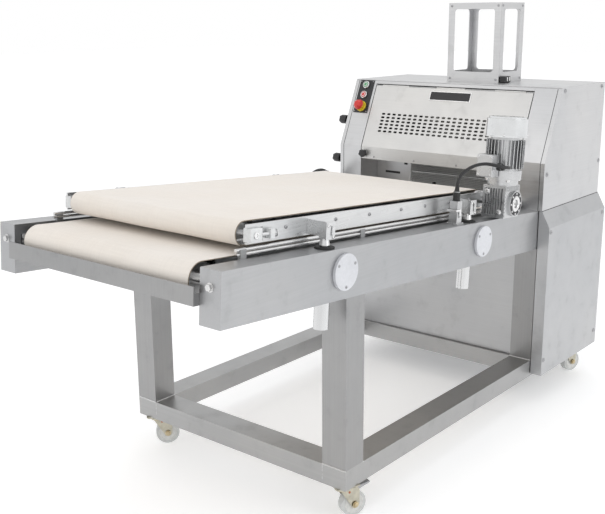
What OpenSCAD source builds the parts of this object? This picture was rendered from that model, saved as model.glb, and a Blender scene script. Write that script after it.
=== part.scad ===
// Long dough moulder: a castered stand, a sloping belt table, a driven upper belt on four rack
// posts, and a sheeting head with an infeed tower. Y runs along the machine, from the outfeed
// end (-Y) to the head (+Y). Stations along the machine are counted from the outfeed end.

/* [Stand] */
// Half of the stand's outer width
stand_half = 417; // [400:1:430]
// Side of the square legs and width of the floor rails
tube = 80; // [70:1:84]
// Height of the floor rails
rail_h = 59; // [50:1:64]
// Underside of the floor rails, over the floor
rail_z = 104; // [104:1:108]
// Station of the front legs
front_leg = 448; // [440:1:470]
// Station of the middle legs, which is the front of the head
head_front = 1531; // [1531:1:1531]
// Station of the rear legs
rear_leg = 1911; // [1905:1:1911]

/* [Casters] */
// Radius of the caster wheels
wheel_r = 37.5; // [36:0.5:38]
// Width of the caster wheels
wheel_w = 24; // [20:1:26]
// Distance from a caster's swivel axis to its wheel's axle
trail = 30; // [26:1:32]

/* [Belt table] */
// Slope of the belt table, falling towards the head, in degrees
tilt = 4.3; // [4.2:0.1:4.4]
// Height of the beams' top edge at the outfeed end
beam_top = 816; // [810:1:820]
// Width of the box beams
beam_w = 66; // [66:1:68]
// Height of the box beams
beam_h = 133; // [130:1:136]
// Wall of the box beams
beam_t = 3; // [3:0.5:3]
// Half of the width of both belts
belt_half = 312; // [300:1:314]
// Thickness of the belts
belt_t = 2.8; // [2:0.2:3]
// Radius of the lower drums
drum_r = 40; // [38:1:40]
// Station of the rear drive drum along the slope
drum_rear = 1860; // [1840:5:1865]

/* [Upper belt] */
// Radius of the upper belt's rollers
roller_r = 27.5; // [25:0.5:28]
// Height of the upper rollers' axes over the beams' top
upper_h = 50; // [50:1:54]
// Station of the upper nose roller along the slope
upper_front = 182; // [175:1:190]
// Station of the upper drive roller along the slope
upper_rear = 1280; // [1276:1:1284]
// Rise of the upper belt
lift_travel = 40; // [20:1:40]

/* [Head] */
// Half of the width of the head's upper part
head_half = 429.5; // [429:0.5:432]
// Half of the width over the lower side covers
cover_half = 459.5; // [450:0.5:465]
// Height of the head's top
head_top = 1108; // [1100:1:1112]
// Height at which the head's front starts to slope back
bend_z = 863; // [860:1:866]
// Station of the head's top front edge
top_front = 1637; // [1630:1:1640]
// Station of the head's back
head_rear = 1993; // [1993:1:1996]
// Height of the seam between the upper panels and the lower covers
seam_z = 701; // [700:1:704]

/* [Tower] */
// Width of the tower
tower_w = 215; // [200:1:230]
// Depth of the tower
tower_d = 176; // [160:1:180]
// Height of the tower
tower_h = 283; // [250:1:300]
// Offset of the tower and the sheeting rollers to the right
tower_x = 30; // [20:1:40]

/* [Hidden] */
$fn = 64;

// the outfeed end of the beams lies at this Y, so that the machine is centred on the origin
front_y = -988;
rail_top = rail_z + rail_h;
beam_in = stand_half - beam_w;
beam_mid = stand_half - beam_w / 2;
seam = 0.3;
sheet = 3;

// lower belt
drum_h = -belt_t - 0.4 - drum_r + 2;
drum_front = 45;
belt_gap = 0.4;

// lift: racks on the posts, pinions on the cross shafts
rack_m = 3;
pinion_teeth = 20;
pinion_r = rack_m * pinion_teeth / 2;
shaft_h = -61;
cross_s = [445, 1154];
post_s = [for (s = cross_s) s - pinion_r - 15];
post_r = 11;
wheel_s = 1416;
wheel_h = -30;
handwheel_r = 100;
chain_pitch_r = 20;

// upper drive
motor_x = 416;
motor_s = upper_rear - 20;
gear_x = [371.5, 457];

// head
slant = atan((top_front - head_front) / (head_top - bend_z));
slope_len = (head_top - bend_z) / cos(slant);
door_half = 328;
hinge_u = slope_len - 21;
hinge_in = 3;
lip_z = 817;
column_in = 331;
column_out = 413.5;

// sheeting rollers, as [station, height]
sheet_r = 45;
sheet_half = 210;
gear_m = 4;
gear_teeth = 24;
gear_r = gear_m * gear_teeth / 2;
roller_b_at = [1840, 945];
roller_a_at = roller_b_at + 2 * gear_r * [cos(150), sin(150)];
roller_c_at = roller_b_at + 2 * gear_r * [cos(225), sin(225)];

// casters: [x, station, direction of the trail from +Y towards +X]
caster_at = [
  [stand_half - 40, front_leg + 40, 23],
  [-stand_half + 40, front_leg + 40, 40],
  [stand_half - 40, rear_leg, 20],
  [-stand_half + 40, rear_leg, 35]
];

// motor cable, from the connector's gland to the terminal box's gland
cable_d = 10;
cable_route = [
  [384, 51.4, 836.6], [384, 52.2, 848], [384.3, 53.4, 860], [385.8, 57, 872], [389.5, 63.5, 884],
  [395.5, 72.5, 894.5], [404, 83, 903.5], [414.5, 94, 910.5], [426.5, 104.5, 915], [439.5, 113, 917],
  [453, 118.5, 916.5], [467, 121.8, 914.5], [480, 129.5, 911.5], [489, 142.5, 908],
  [492, 158.4, 904.8], [488.5, 174, 902], [479, 187, 899.8], [466, 195.5, 898.2], [452.3, 198.4, 897.3]
];

// ---------- helpers ----------

module station() translate([0, front_y, 0]) children();

module sloped() translate([0, front_y, beam_top]) rotate([-tilt, 0, 0]) children();

// frame on the head's sloping front: +Y goes inwards, +Z up the slope
module on_front() translate([0, front_y + head_front, bend_z]) rotate([-slant, 0, 0]) children();

module both_sides() {
  children();
  mirror([1, 0, 0]) children();
}

module box(a, b) translate(a) cube(b - a);

module rod_x(x0, x1, s, h, r) translate([x0, s, h]) rotate([0, 90, 0]) cylinder(h = x1 - x0, r = r);

module rod_s(s0, s1, x, h, r) translate([x, s0, h]) rotate([-90, 0, 0]) cylinder(h = s1 - s0, r = r);

module rod_h(h0, h1, x, s, r) translate([x, s, h0]) cylinder(h = h1 - h0, r = r);

// extrudes a (station, height) outline from x0 to x1
module along_x(x0, x1) translate([x0, 0, 0]) rotate([90, 0, 90]) linear_extrude(x1 - x0) children();

function arc(c, r, a0, a1, n) =
  [for (i = [0:n]) c + r * [cos(a0 + (a1 - a0) * i / n), sin(a0 + (a1 - a0) * i / n)]];

// outline round two equal circles
function loop_points(p, q, r, n = 16) =
  let (a = atan2(q[1] - p[1], q[0] - p[0]))
  concat(arc(q, r, a - 90, a + 90, n), arc(p, r, a + 90, a + 270, n));

module band(p, q, r, t, x0, x1) along_x(x0, x1) difference() {
  polygon(loop_points(p, q, r + t));
  polygon(loop_points(p, q, r));
}

// spur gear outline with straight-sided teeth; a tooth is centred on the +X axis
function tooth(m, teeth, k) =
  let (r = m * teeth / 2, a = 360 / teeth, root = r - 1.25 * m, tip = r + 0.9 * m)
  [for (p = [[root, -0.30], [tip, -0.11], [tip, 0.11], [root, 0.30]])
    p[0] * [cos((k + p[1]) * a), sin((k + p[1]) * a)]];

module gear_outline(m, teeth)
  polygon([for (k = [0:teeth - 1]) each tooth(m, teeth, k)]);

// ---------- stand ----------

module side_rails() color("silver") station() {
  both_sides() box([stand_half - tube, front_leg, rail_z], [stand_half, rear_leg + tube, rail_top]);
  both_sides() box([357, head_front + tube, 300], [397, rear_leg, 330]);
}

module cross_rails() color("silver") station()
  for (s = [front_leg, head_front, rear_leg])
    box([-stand_half + tube, s, rail_z], [stand_half - tube, s + tube, rail_top]);

// the front legs end under the sloping beams; the others carry the head
module legs() color("silver") both_sides() {
  difference() {
    station() box([stand_half - tube, front_leg, rail_top], [stand_half, front_leg + tube, 700]);
    sloped() box([0, 0, -beam_h], [500, 1500, 200]);
  }
  station() for (s = [head_front, rear_leg])
    box([stand_half - tube, s, rail_top], [stand_half, s + tube, seam_z - 1]);
}

// ---------- casters ----------

module at_caster(i) translate([caster_at[i][0], front_y + caster_at[i][1], 0])
  rotate([0, 0, -caster_at[i][2]]) children();

module caster_plates() color("lightgray") for (i = [0:3]) at_caster(i) difference() {
  union() {
    box([-36, -36, rail_z - 3], [36, 36, rail_z]);
    rod_h(rail_z - 12, rail_z - 3, 0, 0, 19);
  }
  rod_h(rail_z - 20, rail_z - 2, 0, 0, 5.05);
}

module fork(i, braked) color("lightgray") at_caster(i) {
  rod_h(rail_z - 17.5, rail_z - 12.3, 0, 0, 24);
  rod_h(rail_z - 15, rail_z - 4, 0, 0, 5);
  for (x = [-18, 15]) along_x(x, x + 3)
    polygon([
      [-16, rail_z - 15], [20, rail_z - 15], [38, 88], [44, 80], [44, 36], [trail + 9, 28],
      [trail, 25], [trail - 9, 28], [trail - 15, 40]
    ]);
  rod_x(-21, 21, trail, wheel_r, 6);
  if (braked) rod_x(-18, 18, 36, 82, 3);
}

module wheel(i) color("whitesmoke") at_caster(i) difference() {
  union() {
    rod_x(-wheel_w / 2, wheel_w / 2, trail, wheel_r, wheel_r);
    rod_x(-14.5, 14.5, trail, wheel_r, 12);
  }
  rod_x(-20, 20, trail, wheel_r, 6.05);
}

module brake_pedal(i) color("dimgray") at_caster(i) difference() {
  union() {
    rod_x(-14, 14, 36, 82, 6.5);
    along_x(-14, 14) polygon([[36, 79], [40, 88.5], [78, 96], [80, 91], [44, 79]]);
  }
  rod_x(-15, 15, 36, 82, 3.06);
}

// ---------- belt table ----------

module cover_holes(x0, x1) for (s = cross_s) rod_x(x0, x1, s, shaft_h, 30);

// right-hand beam: box tube with holes for the cross shafts, the rack posts and the front drum
module beam() difference() {
  sloped() difference() {
    box([beam_in, 0, -beam_h], [stand_half, 1560, 0]);
    box([beam_in + beam_t, beam_t, -beam_h + beam_t], [stand_half - beam_t, 1570, -beam_t]);
    cover_holes(stand_half - 10, stand_half + 1);
    for (s = cross_s) rod_x(beam_in - 1, beam_in + 10, s, shaft_h, 14);
    for (s = post_s) rod_h(-beam_h - 1, 1, beam_mid, s, 14);
    box([beam_in - 1, 20, drum_h - 14], [beam_in + 10, 80, drum_h + 14]);
    rod_s(-1, 10, beam_mid, drum_h, 5.5);
  }
  station() box([0, head_front - 0.5, 0], [500, head_front + 100, 1000]);
}

module beam_right() color("silver") beam();

module beam_left() color("silver") difference() {
  mirror([1, 0, 0]) beam();
  sloped() rod_x(-stand_half - 1, -beam_in + 1, wheel_s, wheel_h, 12.6);
}

module nose_plate() color("silver") sloped() {
  box([-beam_in + 0.5, -18, -88], [beam_in - 0.5, -15, -43]);
  box([-beam_in + 0.5, -15, -88], [beam_in - 0.5, 22, -85.5]);
  both_sides() box([beam_in - 4, -15, -85.5], [beam_in - 0.5, 20, -60]);
}

// belt take-ups: a bearing block in each beam, drawn by a bolt through the beam's end
module take_ups() color("gainsboro") sloped() both_sides() {
  difference() {
    box([beam_in + beam_t + 0.5, drum_front - 20, drum_h - 20], [beam_in + 28, drum_front + 20, drum_h + 20]);
    rod_x(beam_in, beam_in + 22, drum_front, drum_h, 12.55);
  }
  difference() {
    rod_s(3.3, 25, beam_mid, drum_h, 10);
    rod_s(0, 30, beam_mid, drum_h, 5.3);
  }
  rod_s(-1.5, -0.1, beam_mid, drum_h, 11);
  translate([beam_mid, -8.5, drum_h]) rotate([-90, 0, 0]) cylinder(h = 7, r = 8.5, $fn = 6);
  rod_s(-1.5, 24, beam_mid, drum_h, 5);
}

module slider_bed() color("lightgray") sloped() {
  box([-306, 92, -3.5], [306, 1812, -1.4]);
  both_sides() box([290, 100, -40], [300, 1800, -3.5]);
  for (s = [250, 750, 1300]) both_sides() box([300, s, -38], [beam_in - 0.3, s + 30, -12]);
  for (s = [250, 750, 1300, 1700]) box([-290, s, -34], [290, s + 30, -14]);
  both_sides() difference() {
    box([322, 1550, drum_h - 22], [336.5, drum_rear + 30, drum_h + 22]);
    rod_x(300, 340, drum_rear, drum_h, 12.55);
  }
  both_sides() box([300, 1700, -38], [322, 1730, -22]);
  both_sides() rod_s(120, 1525, 344, 20, 4.5);
  both_sides() rod_s(120, 1525, 345.5, 10, 4);
  both_sides() for (s = [130, 600, 1100, 1500]) box([342, s, -9], [beam_in - 0.3, s + 20, 22]);
}

module lower_belt() color("antiquewhite") sloped()
  band([drum_front, drum_h], [drum_rear, drum_h], drum_r + belt_gap, belt_t, -belt_half, belt_half);

module front_drum() color("gray") sloped() {
  rod_x(-belt_half + 4, belt_half - 4, drum_front, drum_h, drum_r);
  rod_x(-beam_in - 20, beam_in + 20, drum_front, drum_h, 12.5);
}

module sprocket(x0, x1, s, h, r) {
  rod_x(x0, x1, s, h, r);
}

module drive_drum() color("gray") sloped() {
  rod_x(-belt_half + 4, belt_half - 4, drum_rear, drum_h, drum_r);
  rod_x(-362, 345, drum_rear, drum_h, 12.5);
  sprocket(-358, -352, drum_rear, drum_h, 32);
  sprocket(-346, -340, drum_rear, drum_h, 32);
}

// ---------- lift ----------

module pinion(x0, x1) difference() {
  translate([x0, 0, 0]) rotate([90, 0, 90]) linear_extrude(x1 - x0)
    rotate(180) gear_outline(rack_m, pinion_teeth);
}

module cross_shaft(s) translate([0, s, shaft_h]) {
  rod_x(-stand_half + 3, stand_half - 3, 0, 0, 12.5);
  both_sides() pinion(beam_mid - 9, beam_mid + 9);
}

module cross_shaft_front() color("gray") sloped() {
  cross_shaft(cross_s[0]);
  sprocket(-363, -359, cross_s[0], shaft_h, chain_pitch_r);
}

module cross_shaft_rear() color("gray") sloped() {
  cross_shaft(cross_s[1]);
  sprocket(-363, -359, cross_s[1], shaft_h, chain_pitch_r);
  sprocket(-369, -365, cross_s[1], shaft_h, chain_pitch_r);
}

module lift_chain() color("dimgray") sloped() {
  band([cross_s[0], shaft_h], [cross_s[1], shaft_h], chain_pitch_r + 0.5, 5, -363.4, -358.6);
  band([cross_s[1], shaft_h], [wheel_s, wheel_h], chain_pitch_r + 0.5, 5, -369.4, -364.6);
}

module handwheel() color("black") sloped() translate([0, wheel_s, wheel_h]) {
  rotate([0, -90, 0]) rotate_extrude() translate([handwheel_r - 9, 441]) circle(r = 9, $fn = 32);
  rod_x(-446, -422, 0, 0, 20);
  for (a = [90, 210, 330]) rotate([a, 0, 0]) box([-444, -6, 12], [-436, 6, handwheel_r - 12]);
  rod_x(-448, -355, 0, 0, 12.5);
  rod_x(-369, -365, 0, 0, chain_pitch_r);
}

// rack tooth k on the line of pinion centres; a gap faces the pinion's tooth
module rack_outline() {
  pitch = PI * rack_m;
  back = 4;
  polygon([[-back, -54], [0, -54], [0, 16], [-back, 16]]);
  for (k = [-5:1]) translate([0, (k + 0.5) * pitch])
    polygon([
      [-0.5, -0.35 * pitch], [2.05 * rack_m, -0.13 * pitch],
      [2.05 * rack_m, 0.13 * pitch], [-0.5, 0.35 * pitch]
    ]);
}

module rack_post(s) {
  rod_h(-180, 26, beam_mid, s, post_r);
  translate([0, s + 15 - 1.25 * rack_m, shaft_h]) along_x(beam_mid - 8, beam_mid + 8) rack_outline();
  box([beam_mid - 8, s - 4, shaft_h - 54], [beam_mid + 8, s + 9, shaft_h + 16]);
  translate([beam_mid, s, 8.6]) cylinder(h = 17.4, r1 = 14, r2 = post_r - 0.5);
}

module rack_posts() color("gainsboro") sloped() both_sides() for (s = post_s) rack_post(s);

module post_sleeves() color("dimgray") sloped() both_sides() for (s = post_s) {
  difference() {
    union() {
      rod_h(0.1, 4, beam_mid, s, 25);
      rod_h(-6, 0.1, beam_mid, s, 13.9);
    }
    rod_h(-20, 10, beam_mid, s, post_r + 0.06);
  }
  difference() {
    rod_h(-208, -beam_h - 0.1, beam_mid, s, 20);
    rod_h(-205, -beam_h + 1, beam_mid, s, 17);
  }
}

module bearing_covers() color("white") sloped() both_sides() for (s = cross_s) {
  difference() {
    union() {
      rod_x(stand_half + 0.1, stand_half + 8, s, shaft_h, 48);
      rod_x(stand_half - 12, stand_half + 0.1, s, shaft_h, 29.8);
    }
    rod_x(stand_half - 20, stand_half + 1, s, shaft_h, 12.56);
    for (a = [30, 150, 270])
      rod_x(stand_half + 7, stand_half + 9, s + 39 * cos(a), shaft_h + 39 * sin(a), 4);
  }
}

// ---------- upper belt ----------

module side_plate() difference() {
  box([334, 160, 29], [340, upper_rear + 52, 76]);
  box([330, 140, 33], [345, 216, 67]);
  rod_x(330, 345, upper_rear, upper_h, 12.56);
}

module upper_frame() color("lightgray") sloped() {
  both_sides() side_plate();
  rod_x(-345, 366, upper_rear + 42, 66, 7);
  box([-308, 222, 22.6], [308, 1244, 25.6]);
  box([-300, 222, 74], [300, 1244, 77]);
  for (s = [232, 560, 900, 1215]) box([-334, s, 34], [334, s + 25, 64]);
  for (s = [232, 560, 900, 1215]) for (x = [-200, 180])
    { box([x, s, 25.6], [x + 20, s + 25, 34]); box([x, s, 64], [x + 20, s + 25, 74]); }
}

module upper_belt() color("antiquewhite") sloped()
  band([upper_front, upper_h], [upper_rear, upper_h], roller_r + belt_gap, belt_t, -belt_half, belt_half);

module nose_roller() color("gray") sloped() {
  rod_x(-belt_half + 6, belt_half - 6, upper_front, upper_h, roller_r);
  rod_x(-348, 348, upper_front, upper_h, 8);
}

module tensioners() color("gainsboro") sloped() both_sides() {
  difference() {
    box([326, 164, 33.3], [350, 204, 66.7]);
    rod_x(320, 349, upper_front, upper_h, 8.05);
  }
  rod_s(204.2, 252, 347.6, upper_h, 4);
  difference() {
    box([340.3, 228, 38], [355.4, 244, 62]);
    rod_s(220, 250, 347.6, upper_h, 4.3);
  }
  translate([347.6, 246, upper_h]) rotate([-90, 0, 0]) cylinder(h = 6, r = 7, $fn = 6);
}

module upper_drive_roller() color("gainsboro") sloped() {
  rod_x(-326, 326, upper_rear, upper_h, roller_r);
  rod_x(-344, 449, upper_rear, upper_h, 12.5);
}

// each bracket carries the frame on a post: an arm from the side plate and a slotted end plate
module lift_brackets() color("gainsboro") sloped() both_sides() for (s = post_s) {
  box([340.3, s - 18, 32], [398, s - 14, 70]);
  difference() {
    box([398, s - 18, 24], [402, s + 18, 68]);
    box([396, s - 2, 34], [404, s + 6, 58]);
  }
  box([376, s - 14, 26.1], [398, s + 10, 46]);
}

module gearbox() color("silver") sloped() difference() {
  union() {
    box([gear_x[0], motor_s - 42, 7], [gear_x[1] - 8, motor_s + 54, 108]);
    for (x = [gear_x[0] + 6:9:gear_x[1] - 18])
      box([x, motor_s - 46, 16], [x + 4, motor_s - 42, 100]);
    rod_x(gear_x[1] - 8, gear_x[1], upper_rear, upper_h, 40);
    rod_h(108, 112, motor_x, motor_s, 42);
  }
  rod_x(gear_x[0] - 1, gear_x[1] + 1, upper_rear, upper_h, 12.56);
  rod_h(80, 120, motor_x, motor_s, 6);
  for (a = [45:90:315])
    rod_x(gear_x[1] - 5, gear_x[1] + 1, upper_rear + 32 * cos(a), upper_h + 32 * sin(a), 3);
}

module motor_body() color("silver") sloped() difference() {
  union() {
    rod_h(112, 128, motor_x, motor_s, 48);
    rod_h(128, 156, motor_x, motor_s, 56);
    rod_h(156, 258, motor_x, motor_s, 44);
    for (a = [0:12:348]) translate([motor_x, motor_s, 162]) rotate([0, 0, a])
      box([42, -1.2, 0], [60, 1.2, 88]);
  }
  rod_h(100, 262, motor_x, motor_s, 20);
}

module fan_cowl() color("gainsboro") sloped() difference() {
  union() {
    rod_h(258.3, 315, motor_x, motor_s, 64);
    rod_h(315, 321, motor_x, motor_s, 58);
  }
  rod_h(257, 312, motor_x, motor_s, 61);
  for (r = [18, 32, 46]) difference() {
    rod_h(311, 323, motor_x, motor_s, r + 3);
    rod_h(310, 324, motor_x, motor_s, r - 3);
    for (a = [0, 60, 120]) translate([motor_x, motor_s, 309]) rotate([0, 0, a]) box([-70, -3, 0], [70, 3, 16]);
  }
}

module motor_fan() color("dimgray") sloped() {
  rod_h(90, 290, motor_x, motor_s, 5.9);
  rod_h(150, 250, motor_x, motor_s, 18);
  rod_h(270, 276, motor_x, motor_s, 26);
  for (a = [0:60:300]) translate([motor_x, motor_s, 270]) rotate([0, 0, a]) box([20, -1, 0], [54, 1, 24]);
}

module terminal_box() color("gainsboro") sloped() {
  box([378, motor_s - 104, 138], [430, motor_s - 61.4, 206]);
  rod_x(430, 452, motor_s - 83, 170, 11);
}

// ---------- motor cable and connector ----------

// tube swept along the route
function route_dir(i) =
  let (n = len(cable_route))
  cable_route[min(i + 1, n - 1)] - cable_route[max(i - 1, 0)];
function unit(v) = v / norm(v);

module motor_cable() color("black") {
  sides = 10;
  rings = [for (i = [0:len(cable_route) - 1])
    let (d = unit(route_dir(i)), u = unit(cross(d, [0.5, -0.5, 0.7])), v = cross(d, u))
    for (k = [0:sides - 1])
      cable_route[i] + cable_d / 2 * (cos(360 * k / sides) * u + sin(360 * k / sides) * v)];
  n = len(cable_route);
  polyhedron(
    points = rings,
    faces = concat(
      [[for (k = [0:sides - 1]) k]],
      [for (i = [0:n - 2]) for (k = [0:sides - 1])
        let (a = i * sides + k, b = i * sides + (k + 1) % sides)
        [a, a + sides, b + sides, b]],
      [[for (k = [sides - 1:-1:0]) (n - 1) * sides + k]]
    )
  );
}

module connector() color("darkgray") sloped() translate([beam_mid, 1035, 0]) {
  box([-19, -19, 0.1], [19, 19, 4]);
  box([-14, -14, 4], [14, 14, 32]);
  box([-13, -13, 32.3], [13, 13, 70]);
  rod_h(70, 98, 0, 0, 10);
  rod_x(14, 18, 0, 24, 3);
  rod_x(-18, -14, 0, 24, 3);
}

module connector_lever() color("lightgray") sloped() translate([beam_mid, 1035, 0]) difference() {
  union() {
    both_sides() box([14.6, -4, 20], [16.6, 4, 46]);
    both_sides() box([14.6, -22, 40], [16.6, 4, 46]);
    box([-16.6, -24, 40], [16.6, -21.7, 46]);
  }
  rod_x(-20, 20, 0, 24, 3.06);
}

// ---------- head ----------

// sloping front sheet between two x values, from slope height u0 to u1
module front_sheet(x0, x1, u0, u1, t = sheet) on_front() box([x0, 0, u0], [x1, t, u1]);

module column() {
  front_sheet(column_in, column_out, 0, slope_len - 4);
  station() box([column_in, head_front, seam_z], [column_out, head_front + sheet, bend_z + 0.5]);
  station() box([column_in, head_front, seam_z], [column_in + sheet, head_front + 112, bend_z]);
}

module side_panel() {
  station() along_x(head_half - sheet, head_half) polygon([
    [head_front, seam_z + 1], [head_front, bend_z], [top_front, head_top - 0.2],
    [head_rear, head_top - 0.2], [head_rear, seam_z + 1]
  ]);
  front_sheet(column_out + seam, head_half, 0, slope_len - 4);
  station() box([column_out + seam, head_front, seam_z + 1], [head_half, head_front + sheet, bend_z + 0.5]);
}

module head_shell() color("silver") {
  both_sides() column();
  both_sides() side_panel();
  front_sheet(-column_in + seam, column_in - seam, hinge_u + 5.4, slope_len - 4);
  station() difference() {
    box([-head_half + sheet + seam, top_front - 1, head_top - sheet],
        [head_half - sheet - seam, head_rear - sheet - seam, head_top]);
    box([tower_x - 94, 1742, head_top - 10], [tower_x + 94, 1893, head_top + 10]);
  }
  station() box([-head_half + sheet + seam, head_rear - sheet, seam_z + 1],
                [head_half - sheet - seam, head_rear, head_top]);
  on_front() rod_x(-column_in - 2, column_in + 2, hinge_in, hinge_u, 2);
  station() box([seam - column_in, 1640, seam_z + 1], [tower_x - 202, 1643, 806]);
  station() box([tower_x + 202, 1640, seam_z + 1], [column_in - seam, 1643, 806]);
}

// lower side covers stand proud of the upper panels, with a chamfer under the seam
module side_cover() station() difference() {
  translate([0, head_rear + 4, 0]) rotate([90, 0, 0]) linear_extrude(head_rear + 4 - head_front) polygon([
    [stand_half + 2, 114], [cover_half, 114], [cover_half, 646], [head_half, seam_z], [stand_half + 2, seam_z]
  ]);
  translate([0, head_rear + 1, 0]) rotate([90, 0, 0]) linear_extrude(head_rear - 2 - head_front) polygon([
    [stand_half - 5, 117], [cover_half - sheet, 117], [cover_half - sheet, 645],
    [head_half - 1, seam_z - 5], [stand_half - 5, seam_z - 5]
  ]);
}

module lower_covers() color("silver") {
  both_sides() side_cover();
  station() box([-stand_half, head_rear - 1.7, rail_top + 1], [stand_half, head_rear + 1, seam_z - 1]);
  station() box([-stand_half + tube + 0.5, head_front + 14, rail_top + 1],
                [stand_half - tube - 0.5, head_front + 16, 598]);
}

// sheet outline: a lip at the foot, the upright part, then the slope up to the hinge
module guard_outline() {
  t = 2.5;
  out = [sin(slant), cos(slant)];
  in = [cos(slant), -sin(slant)];
  foot = [head_front, bend_z];
  polygon([
    [head_front, lip_z], [head_front + 15, lip_z], [head_front + 15, lip_z + t],
    [head_front + t, lip_z + t], foot + t * in + t * tan(slant / 2) * out,
    foot + t * in + (hinge_u - 3) * out, foot + (hinge_u - 3) * out, foot
  ]);
}

module guard() color("gainsboro") difference() {
  union() {
    station() along_x(-door_half, door_half) guard_outline();
    on_front() for (x = [-300, -60, 180]) {
      rod_x(x, x + 120, hinge_in, hinge_u, 3.8);
      box([x + 1, 0.5, hinge_u - 6], [x + 119, 2.2, hinge_u - 1]);
    }
  }
  on_front() {
    for (x = [-300, -60, 180]) rod_x(x - 1, x + 121, hinge_in, hinge_u, 2.06);
    for (row = [0:5]) for (i = [0:22])
      translate([24 * (i - 11), 4, 65 + 13.6 * row]) rotate([90, 0, 0]) linear_extrude(5)
        polygon([[-7.5, -2], [-5, -3.7], [5, -3.7], [7.5, -2], [7.5, 2], [5, 3.7], [-5, 3.7], [-7.5, 2]]);
  }
}

module lobed_knob(l, r) {
  rotate([0, 90, 0]) linear_extrude(l) polygon([for (a = [0:10:350])
    r * (1 + 0.13 * cos(5 * a)) * [cos(a), sin(a)]]);
}

module guard_knob() color("black") station() translate([-door_half + 14, head_front - 0.4, 838])
  rotate([0, 0, -90]) mirror([1, 0, 0]) {
    rod_x(-4, 0, 0, 0, 9);
    translate([-20, 0, 0]) lobed_knob(16, 13);
  }

module panel_knob(s, z) color("black") station() translate([-head_half - 0.4, s, z]) {
  rod_x(-14, 0, 0, 0, 8);
  translate([-44, 0, 0]) lobed_knob(31, 14);
}

module panel_knob_upper() panel_knob(1594, 952);

module panel_knob_lower() panel_knob(1552, 806);

// control plate on the left column, with the two buttons and the emergency stop
plate_x = [-407, -342];
button_x = (plate_x[0] + plate_x[1]) / 2;
start_u = 243;
stop_u = 203;
estop_u = 157;

module control_plate() color("black") on_front() difference() {
  union() {
    box([plate_x[0], -2, 131], [plate_x[1], -0.1, slope_len - 4]);
    for (u = [start_u, stop_u]) translate([button_x, -8, u]) rotate([-90, 0, 0]) cylinder(h = 6, r = 13.5);
    translate([button_x, -6, estop_u]) rotate([-90, 0, 0]) cylinder(h = 4, r = 20);
    translate([button_x, -12, estop_u]) rotate([-90, 0, 0]) cylinder(h = 7, r = 13);
  }
  for (u = [start_u, stop_u]) translate([button_x, -9, u]) rotate([-90, 0, 0]) cylinder(h = 8, r = 10.3);
  translate([button_x, -14, estop_u]) rotate([-90, 0, 0]) cylinder(h = 13, r = 8.3);
}

module push_button(u) on_front() translate([button_x, -9.5, u]) rotate([-90, 0, 0]) cylinder(h = 5, r = 10);

module start_button() color("green") push_button(start_u);

module stop_button() color("red") push_button(stop_u);

module estop_head() color("red") on_front() translate([button_x, 0, estop_u]) {
  translate([0, -22, 0]) rotate([-90, 0, 0]) cylinder(h = 16, r = 8);
  translate([0, -32, 0]) rotate([-90, 0, 0]) cylinder(h = 10, r1 = 16, r2 = 20);
  translate([0, -37, 0]) rotate([-90, 0, 0]) cylinder(h = 5, r1 = 10, r2 = 16);
}

// ---------- sheeting rollers ----------

frame_x = [tower_x - 224, tower_x + 224];

// side plates on two cross beams, with tie rods and scrapers
module roller_frame() color("gray") station() {
  for (x = [frame_x[0], frame_x[1] - 8]) difference() {
    along_x(x, x + 8) polygon([
      [1700, 840], [1930, 840], [1930, 1000], [1880, 1060], [1720, 1060], [1700, 1030]
    ]);
    for (p = [roller_a_at, roller_b_at, roller_c_at]) rod_x(x - 1, x + 9, p[0], p[1], 12.56);
  }
  for (s = [1705, 1905]) box([-head_half + sheet + 0.5, s, 815], [head_half - sheet - 0.5, s + 20, 839.7]);
  for (p = [[1715, 900], [1915, 880]]) rod_x(frame_x[0] + 8, frame_x[1] - 8, p[0], p[1], 8);
  along_x(tower_x - sheet_half, tower_x + sheet_half)
    polygon([[1908, 877], [1912, 884], [1875, 914], [1872.8, 911.5]]);
  along_x(tower_x - sheet_half, tower_x + sheet_half)
    polygon([[1716, 903], [1713, 896], [1728.2, 892], [1729.4, 896]]);
}

module sheeting_roller(p, phase) {
  rod_x(tower_x - sheet_half, tower_x + sheet_half, p[0], p[1], sheet_r);
  rod_x(frame_x[0] - 4, frame_x[1] + 30, p[0], p[1], 12.5);
  translate([frame_x[1] + 4, p[0], p[1]]) rotate([90, 0, 90]) linear_extrude(16)
    rotate(phase) gear_outline(gear_m, gear_teeth);
}

half_tooth = 180 / gear_teeth;

module roller_a() color("whitesmoke") station() sheeting_roller(roller_a_at, 150 + 180 + half_tooth);

module roller_b() color("whitesmoke") station() {
  sheeting_roller(roller_b_at, 150);
  rod_x(-350, frame_x[0] - 3, roller_b_at[0], roller_b_at[1], 12.5);
  sprocket(-346, -340, roller_b_at[0], roller_b_at[1], 32);
}

module roller_c() color("whitesmoke") station() sheeting_roller(roller_c_at, 225 + 180 + half_tooth);

// gearmotor on its shelf, with the chains to the drum and the rollers
drum_at = [
  drum_rear * cos(tilt) + drum_h * sin(tilt),
  beam_top - drum_rear * sin(tilt) + drum_h * cos(tilt)
];
motor_at = [1765, 430];

module head_drive() color("steelblue") station() {
  box([-395, 1640, 330.3], [395, 1890, 336]);
  box([-220, motor_at[0] - 60, 336], [-100, motor_at[0] + 60, motor_at[1] + 70]);
  rod_x(-100, 160, motor_at[0], motor_at[1], 75);
  box([-80, motor_at[0] - 70, 336], [140, motor_at[0] + 70, 360]);
  rod_x(-362, -220, motor_at[0], motor_at[1], 12.5);
  rod_x(-358, -352, motor_at[0], motor_at[1], 32);
  band(motor_at, drum_at, 32.5, 6, -358.5, -351.5);
  band(drum_at, roller_b_at, 32.5, 6, -346.5, -339.5);
}

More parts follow.
